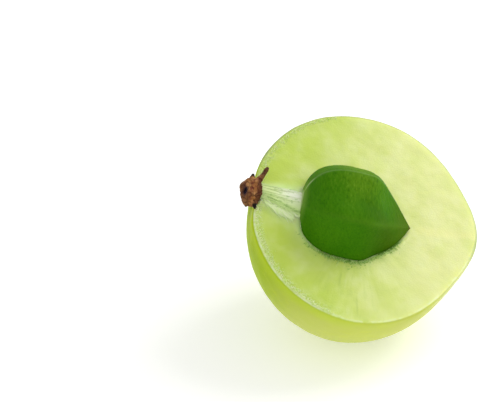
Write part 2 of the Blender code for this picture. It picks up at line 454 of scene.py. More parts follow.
# Distances given to points that are off the face: past every edge, and down in the bed.
FAR_OFF = 9.0
DOWN_IN_BED = -0.5

# Directions from the face's middle, in degrees, as seen square to the cut.
LOWER_EDGE = -82
STALK_SIDE = 175
LOWER_LEFT = -120
BELOW_STRAND = -160
BASE_SIDE = -165

# Relief: how high each kind of unevenness stands, or how deep it sinks.
SWELL_HEIGHT = 0.06
STREAK_HEIGHT = 0.006
DAMP_HEIGHT = 0.025
LIP_HEIGHT = 0.03
TORN_HEIGHT = 0.05
BASE_HEIGHT = 0.10
SKIN_HEIGHT = 0.03
FURROW_DEPTH = 0.06
FURROW_SPREAD = 0.45


def face_edges(turns):
    """For each heading on the cut face, how far from its middle the stone ends and the rim lies."""
    sample = np.linspace(-np.pi, np.pi, HEADING_STEPS)
    headings = flat_headings(sample)
    bed = meet(FACE_START, headings, lambda at: in_stone(at, -BED_OVERLAP), EQUATOR_RADIUS)
    rim = meet(FACE_START, headings, in_fruit, 2 * EQUATOR_RADIUS)
    turns = (np.asarray(turns) + np.pi) % (2 * np.pi) - np.pi
    return np.interp(turns, sample, bed), np.interp(turns, sample, rim)


def strand_middle(x):
    """The strand's middle and its half sizes, each across and up, at a place along it."""
    share = np.clip((x - STRAND_START[0]) / STRAND_RUN, 0, 1)
    middle = [STRAND_START[k] + (STRAND_END[k] - STRAND_START[k]) * share for k in (1, 2)]
    half = [a + (b - a) * share for a, b in zip(STRAND_START_HALF, STRAND_END_HALF)]
    return middle, half


def cap_reach(headings, plain=False):
    """The knob's surface round its own centre, lumpy, with the scar sunk in its outer end."""
    along = np.abs(headings[:, 0]) / CAP_HALF_LENGTH
    across = np.hypot(headings[:, 1], headings[:, 2]) / CAP_HALF_WIDTH
    reach = (along**CAP_BOXINESS + across**CAP_BOXINESS) ** (-1 / CAP_BOXINESS)
    if plain:
        return reach
    from_inner_end = np.arccos(np.clip(headings[:, 0], -1, 1))
    round_axis = np.arctan2(headings[:, 2], headings[:, 1])
    lump = np.sin(3 * round_axis + 4 * from_inner_end) * np.sin(5 * from_inner_end)
    corner = np.cos(CAP_SIDES * round_axis + 0.6) * np.sin(from_inner_end)
    reach *= 1 + CAP_LUMP * lump + CAP_SIDE_DEPTH * corner
    off_scar = angle_from_scar(headings)
    reach += SCAR_RIM * bump(off_scar - 1.6 * SCAR_SPREAD, 0.6 * SCAR_SPREAD)
    return reach - SCAR_DEPTH * bump(off_scar, SCAR_SPREAD)


def angle_from_scar(headings):
    scar = np.array(Vector(SCAR_DIRECTION).normalized())
    return np.arccos(np.clip(headings @ scar, -1, 1))


def flesh_form(ball):
    """Carries a ball's points to the half fruit and says where on it each point is.

    From the top pole down come the stone's bed, the cut face, the rounded rim and the skin.
    """
    turn = np.arctan2(ball[:, 1], ball[:, 0])
    share = np.arccos(np.clip(ball[:, 2], -1, 1)) / np.pi
    bed, rim = face_edges(turn)
    heading = flat_headings(turn)
    in_bed = share < BED_SHARE
    on_skin = share >= SKIN_START
    between = ~in_bed & ~on_skin

    along_face = np.clip((share - BED_SHARE) / FACE_SHARE, 0, 1)
    round_rim = np.clip((share - BED_SHARE - FACE_SHARE) / RIM_SHARE, 0, 1) * np.pi / 2
    away = bed + (rim - RIM_ROUNDING - bed) * along_face + RIM_ROUNDING * np.sin(round_rim)
    points = FACE_START + heading * away[:, None]
    points[:, 2] = CUT_HEIGHT - RIM_ROUNDING * (1 - np.cos(round_rim))

    steepest = np.arctan2(bed, FACE_MIDDLE[2] - CUT_HEIGHT)
    tilt = steepest * np.clip(share / BED_SHARE, 0, 1)
    rays = heading * np.sin(tilt)[:, None] - np.outer(np.cos(tilt), (0, 0, 1))
    rays = rays[in_bed]
    depth = meet(FACE_MIDDLE, rays, lambda at: in_stone(at, -BED_OVERLAP), EQUATOR_RADIUS)
    points[in_bed] = FACE_MIDDLE + rays * depth[:, None]

    edge = points[on_skin]
    azimuth = np.arctan2(edge[:, 1], edge[:, 0])
    start = np.arctan2(np.hypot(edge[:, 0], edge[:, 1]), -edge[:, 2])
    left = (1 - share[on_skin]) / (1 - SKIN_START)
    lean = start * left
    out = np.stack([np.sin(lean) * np.cos(azimuth), np.sin(lean) * np.sin(azimuth), -np.cos(lean)], 1)
    points[on_skin] = out * fruit_reach(out)[:, None]

    from_bed = np.where(between, away - bed, np.where(in_bed, DOWN_IN_BED, FAR_OFF))
    from_rim = np.where(between, rim - away, np.where(in_bed, FAR_OFF, 0.0))
    cut = np.where(on_skin, 0.0, 1.0 - round_rim / (np.pi / 2))
    return points, from_bed, from_rim, cut


def toward(points, degrees):
    """From 1 for points of the face that lie in a direction from its middle to -1 for the opposite."""
    offset = points[:, :2] - FACE_MIDDLE[:2]
    offset /= np.maximum(lengths(offset), 1e-6)[:, None]
    angle = math.radians(degrees)
    return offset @ (math.cos(angle), math.sin(angle))


def furrows(points):
    """From 0 to 1, how far down in one of the round side's furrows a point lies."""
    round_side = np.maximum(fade(points[:, 2], -5, -9), fade(points[:, 1], 0, 4))
    round_side *= fade(np.abs(points[:, 0]), 14.2, 12)
    round_axis = np.arctan2(points[:, 2], points[:, 1])
    half = np.pi / LOBES
    off = np.abs((round_axis % (2 * half)) - half)
    return bump(off * np.hypot(points[:, 1], points[:, 2]), FURROW_SPREAD) * round_side


def face_relief(points, from_bed, from_rim):
    """How far the cut face rises or sinks: soft swells, streaks, wet cells and a torn edge."""
    lower_side = fade(toward(points, LOWER_EDGE), 0.1, 0.6)
    left_side = fade(toward(points, STALK_SIDE), -0.6, 0.4)
    offset = points[:, :2] - FACE_MIDDLE[:2]
    turn = np.arctan2(offset[:, 1], offset[:, 0])
    streaks = np.stack([9 * np.cos(turn), 9 * np.sin(turn), 0.12 * lengths(offset)], 1)
    clear = fade(from_bed, 0, 1.5) * fade(from_rim, 0, 1.5)
    height = SWELL_HEIGHT * lumps(points, 3.5, 3, 1) * clear
    height += STREAK_HEIGHT * lumps(streaks, 0.9, 2, 2) * fade(from_bed, 0, 0.6)
    height += DAMP_HEIGHT * lumps(points, 0.34, 2, 3) * bump(from_rim - 0.9, 0.7) * left_side
    height += LIP_HEIGHT * bump(from_rim - 0.42, 0.16) * fade(toward(points, LOWER_LEFT), 0, 0.6)
    torn = 1 + lumps(points, 0.5, 2, 4)
    height += TORN_HEIGHT * lower_side * bump(from_bed - 0.5, 0.35) * torn
    height += BASE_HEIGHT * bump(from_bed, 0.6) * fade(toward(points, BELOW_STRAND), 0.75, 0.95)
    return height


def seat_strand_and_cap(points, cut):
    """Sinks a groove for the strand and a seat for the cap, and says which points lie in them."""
    (middle_y, middle_z), (half_y, half_z) = strand_middle(points[:, 0])
    off_strand = (points[:, 1] - middle_y) / (GROOVE_WIDTH * half_y)
    sunk = middle_z - half_z * np.sqrt(np.clip(1 - off_strand**2, 0, 1))
    in_groove = (points[:, 0] < STRAND_END[0]) & (cut > 0.5) & (np.abs(off_strand) < 1)
    points[in_groove, 2] = np.minimum(points[in_groove, 2], sunk[in_groove])
    to_cap = points - CAP_CENTRE
    reach = cap_reach(to_cap / lengths(to_cap)[:, None], plain=True) + CAP_CLEARANCE
    in_seat = lengths(to_cap) < reach
    pushed = CAP_CENTRE + to_cap * (reach / lengths(to_cap))[:, None]
    points[in_seat] = pushed[in_seat]
    return in_groove | in_seat


def climb_beside_strand(points, cut):
    """How far the flesh climbs the strand's sides, most of all on the lower one."""
    (middle_y, _), (half_y, _) = strand_middle(points[:, 0])
    aside = np.abs(points[:, 1] - middle_y) / half_y
    lower = fade(points[:, 1] - middle_y, 0.5, -0.5)
    climb = STRAND_FILLET * (0.3 + 0.7 * lower) * fade(aside, 1.9, 0.95) * (cut > 0.5)
    return climb * fade(points[:, 0], STRAND_END[0] + 0.8, STRAND_END[0] - 1.6)


def whitish_places(points, from_bed):
    """Where the flesh is whitish, beside the strand and round the stone's base."""
    (middle_y, _), (half_y, _) = strand_middle(points[:, 0])
    spread = 0.3 + 0.6 * np.clip((points[:, 0] - STRAND_START[0]) / 5, 0, 1)
    below = middle_y - 0.9 * half_y - points[:, 1]
    above = points[:, 1] - middle_y - 0.9 * half_y
    beside = np.where(below > -half_y, bump(below, 1.9 * spread), 0)
    beside = np.where(above > -half_y, bump(above, 1.3 * spread), beside)
    beside *= fade(points[:, 0], STRAND_END[0] + 0.5, STRAND_END[0] - 1)
    base_side = bump(from_bed, 0.5) * fade(toward(points, BASE_SIDE), 0.72, 0.9)
    return np.clip(beside + base_side, 0, 1)


def stained_places(points, from_bed):
    """Where the flesh is stained green, in patches along the stone's lower edge."""
    stain = bump(from_bed, 1.1) * fade(toward(points, LOWER_EDGE), 0.35, 0.75)
    return np.clip(stain * (0.8 + 0.7 * lumps(points, 0.9, 2, 6)), 0, 1)


def make_flesh(material):
    bm = unit_ball(*FLESH_GRID)
    points, from_bed, from_rim, cut = flesh_form(points_of(bm))
    free = ~seat_strand_and_cap(points, cut)
    points[:, 2] += climb_beside_strand(points, cut) * free
    move_to(bm, points)

    # Relief along the normals.
    on_cut = fade(cut, 0.2, 0.8)
    furrow = furrows(points)
    skin_relief = SKIN_HEIGHT * lumps(points, 1.6, 3, 5) - FURROW_DEPTH * furrow
    height = face_relief(points, from_bed, from_rim) * on_cut + skin_relief * (1 - on_cut)
    points = points + outward(bm) * (height * free)[:, None]

    # The round side is flat where it rests.
    over = points @ DOWN - REST_HEIGHT
    points = points - np.outer(np.maximum(over, 0), DOWN)
    move_to(bm, points)
    values = {
        "cut": cut,
        "from_bed": from_bed,
        "from_rim": from_rim,
        "stain": stained_places(points, from_bed) * on_cut,
        "pale": whitish_places(points, from_bed) * on_cut,
        "furrow": furrow,
    }
    finish_piece("flesh_and_skin", bm, material, ["flesh_half"], values)


# Colours of the cut flesh, from its ground to its edges.
FLESH_GREEN = (0.58, 0.73, 0.11)
FLESH_PALE = (0.85, 0.89, 0.4)
WISP_PALE = (0.88, 0.94, 0.54)
WISP_GREEN = (0.57, 0.71, 0.14)
RAY_PALE = (0.9, 0.94, 0.6)
RAY_GREEN = (0.46, 0.62, 0.13)
VEIN_GREEN = (0.36, 0.52, 0.09)
APEX_YELLOW = (0.92, 0.93, 0.42)
STRAND_WHITE = (0.79, 1.0, 0.52)
# Painted light for the patch beside the stone's base.
PAINTED_LIGHT_BY_STONE_BASE = (0.8, 0.96, 0.3)
HALO_GREEN = (0.5, 0.76, 0.24)
STAIN_GREEN = (0.36, 0.55, 0.12)
SPECK_GREEN = (0.12, 0.29, 0.03)
TORN_GREEN = (0.075, 0.21, 0.008)
RIM_GREEN = (0.52, 0.68, 0.13)
# Partly the wet band's own paleness, partly painted glints.
WET_PALE_AND_GLINTS = (0.86, 1.0, 0.62)
# Painted highlight along the near rim.
RIM_HIGHLIGHT_WHITE = (0.84, 0.96, 0.6)
# The skin's edge, partly painted shade where the far rim turns away.
SKIN_EDGE_AND_FAR_SHADE = (0.27, 0.36, 0.14)

# Colours of the skin.
STALK_SKIN = (0.3, 0.44, 0.0)
APEX_SKIN = (0.53, 0.595, 0.12)
RIGHT_SKIN = (0.48, 0.51, 0.12)
STREAK = (0.62, 0.7, 0.05)
RIM_SKIN = (0.5, 0.66, 0.03)
LIT_SKIN = (0.66, 0.7, 0.36)
FURROW_PALE = (0.74, 0.8, 0.34)
FRECKLE = (0.66, 0.72, 0.06)

# Thin dark veins on the face: the direction from its middle, and where they start and end.
VEINS = ((-97.0, 7.9, 10.8), (-85.2, 10.9, 14.1))


def heading_and_distance(look):
    """Where a point of the face lies, seen from the face's middle."""
    x, y, _ = look.axes()
    away_x = x - float(FACE_MIDDLE[0])
    away_y = y - float(FACE_MIDDLE[1])
    return look.maths("ARCTAN2", away_y, away_x), (away_x * away_x + away_y * away_y) ** 0.5


def face_rays(look):
    """Noise drawn out along the headings from the face's middle."""
    turn, away = heading_and_distance(look)
    spokes = {"X": turn * 5.0, "Y": away * 0.09 + turn * 1.3, "Z": turn * 0.9 - away * 0.06}
    return look.grain(3.4, 3.0, 0.6, at=look.node("ShaderNodeCombineXYZ", sockets=spokes))


def open_flesh(look, cloud, wisps, rays):
    """Pale yellow-green, greener towards the stalk, with soft clouds, faint rays and thin veins."""
    x, y, _ = look.axes()
    turn, away = heading_and_distance(look)
    ripe = (x * 0.043 + cloud * 0.5 + y.fade(-1.0, 4.0) * 0.12 + 0.2).fade(0.0, 1.0)
    below = abs(turn + math.radians(92.0)).fade(0.6, 0.15)
    flesh = look.paint(
        look.blend(ripe, FLESH_GREEN, FLESH_PALE),
        (wisps.fade(0.4, 0.75) * 0.3, WISP_PALE),
        (wisps.fade(0.55, 0.28) * 0.2, WISP_GREEN),
        (rays.fade(0.5, 0.78) * (below * 0.13 + 0.03), RAY_PALE),
        (rays.fade(0.52, 0.3) * (below * 0.17 + 0.04), RAY_GREEN),
    )
    for direction, start, end in VEINS:
        aside = abs((turn - math.radians(direction)) * away + (rays - 0.5) * 0.25)
        vein = aside.fade(0.22, 0.02) * away.fade(start, start + 0.9) * away.fade(end, end - 1.2)
        flesh = look.blend(vein * 0.2, flesh, VEIN_GREEN)
    to_apex = abs(y + 0.9 - x * 0.06 + (wisps - 0.5) * 1.5)
    return look.blend(to_apex.fade(0.9, 0.1) * x.fade(6.0, 7.5) * 0.5, flesh, APEX_YELLOW)


def flesh_at_stone(look, flesh, wisps):
    """Whitish beside the strand, pale green and stained along the stone, with painted light that lifts
    the shade beside the stone's base.
    """
    x, y, _ = look.axes()
    turn, _ = heading_and_distance(look)
    from_bed = look.attribute("from_bed")
    stain = look.attribute("stain")
    # Painted light: a lighter patch beside the stone's base stands in for light where shade falls.
    light_patch_by_base = from_bed.fade(2.6, 0.6) * x.fade(-3.5, -5.5) * y.fade(-1.5, -3.0)
    halo = from_bed.fade(0.65, 0.15) * y.fade(-1.0, -4.0)
    soaked = look.grain(1.1, 3.0, 0.6)
    shreds = look.grain(4.2, 3.0, 0.75, 0.8)
    specks = (stain * 0.55 + shreds).fade(0.95, 1.12)
    torn = abs(turn + math.radians(38.0)).fade(0.45, 0.2) * (from_bed + shreds * 0.7).fade(0.85, 0.5)
    return look.paint(
        flesh,
        (look.attribute("pale") * (0.5 + wisps * 0.6), STRAND_WHITE),
        (light_patch_by_base * 0.45, PAINTED_LIGHT_BY_STONE_BASE),
        (halo * 0.7, HALO_GREEN),
        (stain * soaked.fade(0.3, 0.6) * 0.5, STAIN_GREEN),
        (specks * 0.8, SPECK_GREEN),
        (torn * 0.9, TORN_GREEN),
    )


def far_side(look):
    """One on the side of the rim that is turned to the back, zero on the near side."""
    x, y, _ = look.axes()
    return (y + x * 0.3).fade(-2.0, 4.0)


def flesh_at_rim(look, flesh):
    """The wet cells just inside the rim with painted glints among them, a painted highlight along the
    near rim, and the thin edge of the skin with painted shade on the far rim.
    """
    x, y, _ = look.axes()
    from_rim = look.attribute("from_rim")
    left = x.fade(2.0, -7.0)
    wet = look.grain(3.6, 3.0, 0.7)
    # Pale wet patches by the left rim: partly the wet cells' own paleness, partly painted glints.
    wet_band_and_glints = wet.fade(0.45, 0.65) * from_rim.fade(1.7, 0.3) * left * y.fade(11.0, 0.0)
    edge = (from_rim + (wet - 0.5) * 0.25).fade(0.42, 0.3)
    patchy = look.grain(0.9, 2.0).fade(0.42, 0.6)
    # Painted highlight: a thin pale line along the near rim, as if the cut edge caught the light.
    painted_rim_highlight = edge * y.fade(3.0, -3.0) * (left * 0.35 + patchy * 0.5)
    return look.paint(
        flesh,
        (from_rim.fade(2.6, 1.2) * left * 0.2, RIM_GREEN),
        (wet_band_and_glints * 0.6, WET_PALE_AND_GLINTS),
        (painted_rim_highlight, RIM_HIGHLIGHT_WHITE),
        # Dark line on the far rim: the skin's edge, partly painted shade where the rim turns away.
        (from_rim.fade(0.45, 0.1) * far_side(look) * 0.8, SKIN_EDGE_AND_FAR_SHADE),
    )


def skin_colour(look, cloud):
    """Thin skin, deeper green at the stalk end and brighter where light comes through by the rim."""
    x, _, z = look.axes()
    streaks = look.grain(0.7, 3.0, 0.6, at=look.place((0.15, 1.0, 1.0)))
    furrow = look.attribute("furrow")
    line = furrow**3.0 * (0.1 + look.grain(0.5, 2.0) * 0.5) + furrow * 0.15
    freckles = look.grain(2.4, 3.0, 0.7)
    return look.paint(
        look.blend((x + cloud * 3.0).fade(-11.5, -1.5), STALK_SKIN, APEX_SKIN),
        (x.fade(2.0, 7.0) * 0.6, RIGHT_SKIN),
        (streaks.fade(0.5, 0.75) * 0.25, STREAK),
        (z.fade(-1.6, 0.2) * (x.fade(2.0, -4.0) * 0.35 + 0.15), RIM_SKIN),
        (x.fade(7.5, 12.5) * z.fade(-5.0, -1.0) * 0.6, LIT_SKIN),
        # Dark line where the skin meets the far rim: the skin's edge, partly painted shade.
        (z.fade(0.0, 0.35) * far_side(look) * 0.8, SKIN_EDGE_AND_FAR_SHADE),
        (line, FURROW_PALE),
        (freckles.fade(0.56, 0.75) * 0.15, FRECKLE),
    )


def flesh_look():
    look = Look(
        "moist flesh and skin",
        Subsurface_Weight=1.0,
        Subsurface_Radius=(1.0, 0.95, 0.6),
        Subsurface_Scale=0.8 * MM,
        Specular_IOR_Level=0.02,
        Coat_Roughness=0.18,
    )
    cloud = look.grain(0.16, 2.0)
    wisps = look.grain(0.36, 2.5, 0.5)
    rays = face_rays(look)
    flesh = flesh_at_stone(look, open_flesh(look, cloud, wisps, rays), wisps)
    on_face = look.attribute("cut").fade(0.4, 0.75)
    colour = look.blend(on_face, skin_colour(look, cloud), flesh_at_rim(look, flesh))
    roughness = 0.4 + look.grain(1.2) * 0.14 - on_face * 0.08
    pores = look.relief(look.grain(5.0, 3.0, 0.6), 0.025 * MM)
    look.give("Coat Weight", 0.03 + on_face * 0.1)
    return look.finish(colour, roughness, look.relief(rays, 0.015 * MM, pores))


# Wet cells and shreds on the cut face
CELLS = 1400
CELL_HEADINGS = (100, 262)
CELL_DEPTH = 0.35
CELL_DEPTH_SPREAD = 0.34
CELL_RADIUS = (0.04, 0.1)
HAIRS = 520
HAIR_LENGTH = (0.1, 0.5)
HAIR_RADIUS = (0.014, 0.032)
HAIR_SWERVE = 0.45
HAIR_LIFT = (0.02, 0.14)
HAIR_SIDES = 4
FLAKES = 160
FLAKE_RADIUS = (0.025, 0.075)

CELL_GREEN = (0.78, 0.97, 0.3)
CELL_WHITE = (0.93, 1.0, 0.55)
SHRED_DEEP = (0.18, 0.45, 0.03)
SHRED_PALE = (0.72, 0.95, 0.34)


def on_face_at(turns, from_bed=None, from_rim=None):
    """Points on the cut face at headings from its middle, so far from the stone or from the rim."""
    bed, rim = face_edges(turns)
    away = bed + from_bed if from_rim is None else rim - from_rim
    heading = flat_headings(turns)
    points = FACE_START + heading * away[:, None]
    points[:, 2] += face_relief(points, away - bed, rim - away)
    return points, heading


def bead(centre, size, turn):
    """One small lump with twenty faces."""
    bm = bmesh.new()
    bmesh.ops.create_icosphere(bm, subdivisions=1, radius=1.0)
    placed = Matrix.LocRotScale(Vector(centre), Euler(turn), Vector(size))
    bmesh.ops.transform(bm, matrix=placed, verts=bm.verts)
    return bm


def make_wet_cells(material):
    draw = np.random.default_rng(3)
    turns = np.radians(draw.uniform(*CELL_HEADINGS, CELLS))
    scatter = np.abs(draw.normal(0, CELL_DEPTH_SPREAD, CELLS)) * fade(np.cos(turns), 0.3, -0.8)
    centres, _ = on_face_at(turns, from_rim=CELL_DEPTH + scatter)
    sizes = draw.uniform(*CELL_RADIUS, CELLS) * (1 - 0.15 * fade(centres[:, 1], -1, 4))
    bm = bmesh.new()
    for centre, size, turn in zip(centres, sizes, draw.uniform(0, 6, (CELLS, 3))):
        centre[2] += 0.1 * size
        add_to(bm, bead(centre, (size, 0.8 * size, 0.6 * size), turn))
    finish_piece("wet_cells", bm, material)


def wet_cell_look():
    look = Look("wet cells", Specular_IOR_Level=0.2, Coat_Weight=0.35, Coat_Roughness=0.1)
    tone = look.grain(1.5, 2.0)
    green = look.blend(tone.fade(0.35, 0.65), CELL_GREEN, CELL_WHITE)
    return look.finish(green, 0.25 + tone * 0.15)


def hair(draw, root, ahead, length):
    """A short tapered hair that leans away from the stone and swerves to one side."""
    swerve = draw.normal(0, HAIR_SWERVE)
    side = np.array([-ahead[1], ahead[0], 0])
    lift = np.array([0, 0, draw.uniform(*HAIR_LIFT)])
    middle = root + 0.5 * length * (ahead + 0.5 * swerve * side) + lift
    tip = root + length * (ahead + swerve * side) + 0.6 * lift
    thick = draw.uniform(*HAIR_RADIUS)
    return tube([root, middle, tip], [thick, 0.8 * thick, 0.2 * thick], HAIR_SIDES)


def make_shreds(material):
    """Short hairs and flakes that stand on the flesh along the stone's lower edge."""
    draw = np.random.default_rng(5)
    gathered = draw.normal(-95, 22, HAIRS // 2)
    scattered = draw.uniform(-138, -28, HAIRS // 2)
    turns = np.radians(np.concatenate([gathered, scattered]))
    roots, heading = on_face_at(turns, from_bed=draw.uniform(0.12, 0.6, HAIRS))
    clump = np.clip(0.6 + 0.8 * lumps(roots, 0.7, 2, 31), 0.2, 1.4)
    reach = draw.uniform(*HAIR_LENGTH, HAIRS) * clump
    bm = bmesh.new()
    tones = []
    for root, ahead, length in zip(roots, heading, reach):
        grown = hair(draw, root, ahead, length)
        tones += [draw.uniform(0, 1)] * add_to(bm, grown)
    turns = np.radians(draw.normal(-92, 26, FLAKES))
    places, _ = on_face_at(turns, from_bed=0.25 + np.abs(draw.normal(0, 0.45, FLAKES)))
    sizes = draw.uniform(*FLAKE_RADIUS, FLAKES)
    for place, size, turn in zip(places, sizes, draw.uniform(0, 6, (FLAKES, 3))):
        tone = draw.uniform(0, 0.6)
        tones += [tone] * add_to(bm, bead(place, (1.6 * size, 0.7 * size, 0.5 * size), turn))
    finish_piece("shreds", bm, material, values={"tone": tones})


def shred_look():
    look = Look("green shreds", Specular_IOR_Level=0.15)
    tone = look.attribute("tone")
    mottled = (tone + look.grain(3.0, 2.0) * 0.5 - 0.25).fade(0.1, 0.9)
    return look.finish(look.blend(mottled, SHRED_DEEP, SHRED_PALE), 0.5)


# Stone
STONE_GRID = (384, 224)
STONE_SWELL_HEIGHT = 0.05
STONE_STROKE_HEIGHT = 0.022
STONE_RIB_HEIGHT = 0.04
STONE_STROKE_TURN = (0.5, 0.3, 0.7)
UPPER_RIB = math.pi / 3
MIDDLE_RIB = 2 * math.pi / 3

STONE_DEEP = (0.026, 0.165, 0.0)
STONE_GREEN = (0.05, 0.205, 0.001)
# Painted light on the stone's upper facet.
LIT_UPPER_FACET_GREEN = (0.072, 0.21, 0.002)
# Painted gloss on the stone's upper middle.
PAINTED_SHEEN_GREEN = (0.115, 0.26, 0.003)
SHADED_GREEN = (0.044, 0.108, 0.0)
LEFT_GREEN = (0.06, 0.21, 0.0)
BLUE_GREEN = (0.035, 0.19, 0.03)
STROKE_PALE = (0.16, 0.33, 0.02)
STROKE_DEEP = (0.014, 0.095, 0.0)
RIDGE_PALE_AND_LIT = (0.105, 0.255, 0.01)
RIB_GREEN = (0.09, 0.24, 0.01)
POINT_OLIVE = (0.075, 0.12, 0.002)
POINT_BROWN = (0.09, 0.07, 0.01)
SEAM_PALE = (0.5, 0.66, 0.3)
# Painted light coming through the stone's base.
BASE_GLOW_GREEN = (0.26, 0.44, 0.06)
BASE_GLOW_PALE = (0.6, 0.72, 0.36)


def rib_offset(round_axis):
    """The angle from the nearest rib."""
    whole = 2 * np.pi / STONE_RIBS
    return np.abs((round_axis + whole / 2) % whole - whole / 2)


def make_stone(material):
    bm = unit_ball(*STONE_GRID, "X")
    ball = points_of(bm)
    from_tip = STONE_LENGTH * (1 - np.clip(ball[:, 0], -1, 1)) / 2
    round_axis = np.arctan2(ball[:, 2], ball[:, 1])
    reach = stone_reach(from_tip, round_axis)
    own = np.stack([-from_tip, reach * np.cos(round_axis), reach * np.sin(round_axis)], 1)
    move_to(bm, own)
    off_rib = rib_offset(round_axis) * reach
    from_point = fade(from_tip, 0.4, 2.0)
    body = from_point * fade(from_tip, STONE_LENGTH, STONE_LENGTH - 1.5)
    slanted = own @ np.array(Euler(STONE_STROKE_TURN).to_matrix()) * (1.0, 0.45, 1.0)
    height = STONE_SWELL_HEIGHT * lumps(own, 3.0, 2, 11) * body
    height += STONE_STROKE_HEIGHT * lumps(slanted, 0.38, 2, 12) * body
    uneven = 0.8 + 0.6 * lumps(own, 1.5, 2, 13)
    height += STONE_RIB_HEIGHT * bump(off_rib, 0.28) * body * uneven
    own = own + outward(bm) * height[:, None]
    move_to(bm, from_stone(own))

    # The seam on the upper rib, the facet by the middle rib and that rib's crest.
    seam = bump(off_rib, 0.09 + 0.08 * fade(from_tip, 10, 12.5)) * bump(round_axis - UPPER_RIB, 0.5)
    seam *= from_point * fade(from_tip, STONE_LENGTH, STONE_LENGTH - 0.25)
    front = fade(from_tip, 12.0, 7.0)
    values = {
        "rib": bump(off_rib, 0.4) * body,
        "from_tip": from_tip,
        "seam": seam,
        "upper": fade(round_axis, MIDDLE_RIB + 0.1, MIDDLE_RIB - 0.05) * front,
        "ridge": bump(reach * (round_axis - MIDDLE_RIB), 0.35) * body * front,
    }
    finish_piece("stone_ribbed", bm, material, ["stone"], values)


def stone_look():
    """Deep green strokes, a browner point and a thin pale seam, with painted light: a glossy patch, a
    lighter upper facet and ridge, and a glow at the base.
    """
    look = Look(
        "green stone",
        Subsurface_Weight=0.1,
        Subsurface_Radius=(0.5, 1.0, 0.1),
        Subsurface_Scale=0.8 * MM,
        Specular_IOR_Level=0.05,
    )
    x, y, _ = look.axes()
    upper = look.attribute("upper")
    from_tip = look.attribute("from_tip")
    cloud = look.grain(0.3, 2.0)
    turned = {"Vector": look.place(), "Rotation": (0.5, 0.3, 0.75), "Scale": (1.0, 0.36, 1.0)}
    strokes = look.grain(4.6, 4.0, 0.7, at=look.node("ShaderNodeMapping", sockets=turned))
    # Painted gloss: a paler patch on the upper middle, as if it reflected the light.
    painted_sheen = (y * 0.16 + cloud * 0.8).fade(-0.1, 0.6) * x.fade(-6.5, -2.5) * x.fade(3.0, -0.8)
    shaded = (y + x * 0.5).fade(-0.5, -2.5) * x.fade(-2.0, 2.5)
    near_base = from_tip.fade(STONE_LENGTH * 0.92, STONE_LENGTH * 0.99)
    base = from_tip.fade(STONE_LENGTH - 0.12, STONE_LENGTH - 0.02)
    green = look.paint(
        look.blend(cloud.fade(0.3, 0.7), STONE_DEEP, STONE_GREEN),
        # Painted light: the upper facet lighter, as if it faced the light.
        (upper * 0.4, LIT_UPPER_FACET_GREEN),
        (painted_sheen * (0.3 + upper * 0.45), PAINTED_SHEEN_GREEN),
        (shaded * 0.6, SHADED_GREEN),
        ((x + y * 0.6).fade(-1.5, -5.0) * 0.5, LEFT_GREEN),
        (x.fade(-1.0, 3.0) * y.fade(1.5, 4.0) * 0.5, BLUE_GREEN),
        # Pale strokes, stronger inside the painted gloss.
        (strokes.fade(0.5, 0.68) * (0.12 + painted_sheen * 0.5), STROKE_PALE),
        (strokes.fade(0.5, 0.3) * 0.5, STROKE_DEEP),
        # The middle rib's crest paler: partly the stone's own colour, partly painted light along the
        # edge.
        (look.attribute("ridge") * 0.25, RIDGE_PALE_AND_LIT),
        (look.attribute("rib") * 0.15, RIB_GREEN),
        (from_tip.fade(4.5, 0.5) * 0.6, POINT_OLIVE),
        (from_tip.fade(0.5, 0.1) * 0.7, POINT_BROWN),
        (look.attribute("seam") * (0.16 + near_base * 0.8), SEAM_PALE),
        # Painted light: a lighter band at the stone's base, as if light came through it.
        (from_tip.fade(STONE_LENGTH - 0.6, STONE_LENGTH) * 0.5, BASE_GLOW_GREEN),
        (base * 0.8, BASE_GLOW_PALE),
    )
    return look.finish(green, 0.42 + strokes * 0.2, look.relief(strokes, 0.045 * MM))


# Strand
STRAND_SIDES = 168
STRAND_STEPS = 150
STRAND_TWIST = 0.3
GROOVE_HEADING = 2.15
LOOSE_FIBRES = 26
FRINGE_FIBRES = 260
LOOSE_RADIUS = (0.03, 0.06)
FRINGE_RADIUS = (0.025, 0.055)
FIBRE_SIDES = 6
FIBRE_STEPS = 22
FRINGE_STEPS = 9

FIBRE_GREEN = (0.7, 0.84, 0.36)
FIBRE_WHITE = (0.97, 1.0, 0.82)
# A brighter green for the lower side that partly stands in for light.
LOWER_FIBRES_LIGHTENED = (0.8, 1.0, 0.42)
FIBRE_STREAK = (0.62, 0.79, 0.32)
FIBRE_DASH = (0.34, 0.56, 0.14)
# Painted shade in the groove and between ridges, and darker loose fibres.
GROOVE_SHADE_AND_DARK_FIBRES = (0.42, 0.62, 0.16)
FRINGE_WHITE = (0.95, 1.0, 0.74)


def tube(path, radii, sides):
    """A closed tube along a path, with its own thickness at each point of the path."""
    path, radii = np.array(path, float), np.array(radii, float)
    bm = bmesh.new()
    bmesh.ops.create_cone(bm, cap_ends=True, segments=sides, radius1=1.0, radius2=1.0, depth=1.0)
    upright = [edge for edge in bm.edges if abs(edge.verts[0].co.z - edge.verts[1].co.z) > 0.5]
    bmesh.ops.subdivide_edges(bm, edges=upright, cuts=len(path) - 2, use_grid_fill=True)
    ahead = np.gradient(path, axis=0)
    ahead /= lengths(ahead)[:, None]
    least_along = np.eye(3)[np.argmin(np.abs(ahead.sum(0)))]
    side = np.cross(least_along, ahead)
    side /= lengths(side)[:, None]
    over = np.cross(ahead, side)
    round_tube = points_of(bm)
    place = np.rint((round_tube[:, 2] + 0.5) * (len(path) - 1)).astype(int)
    angle = np.arctan2(round_tube[:, 1], round_tube[:, 0])[:, None]
    out = side[place] * np.cos(angle) + over[place] * np.sin(angle)
    move_to(bm, path[place] + out * radii[place][:, None])
    return bm


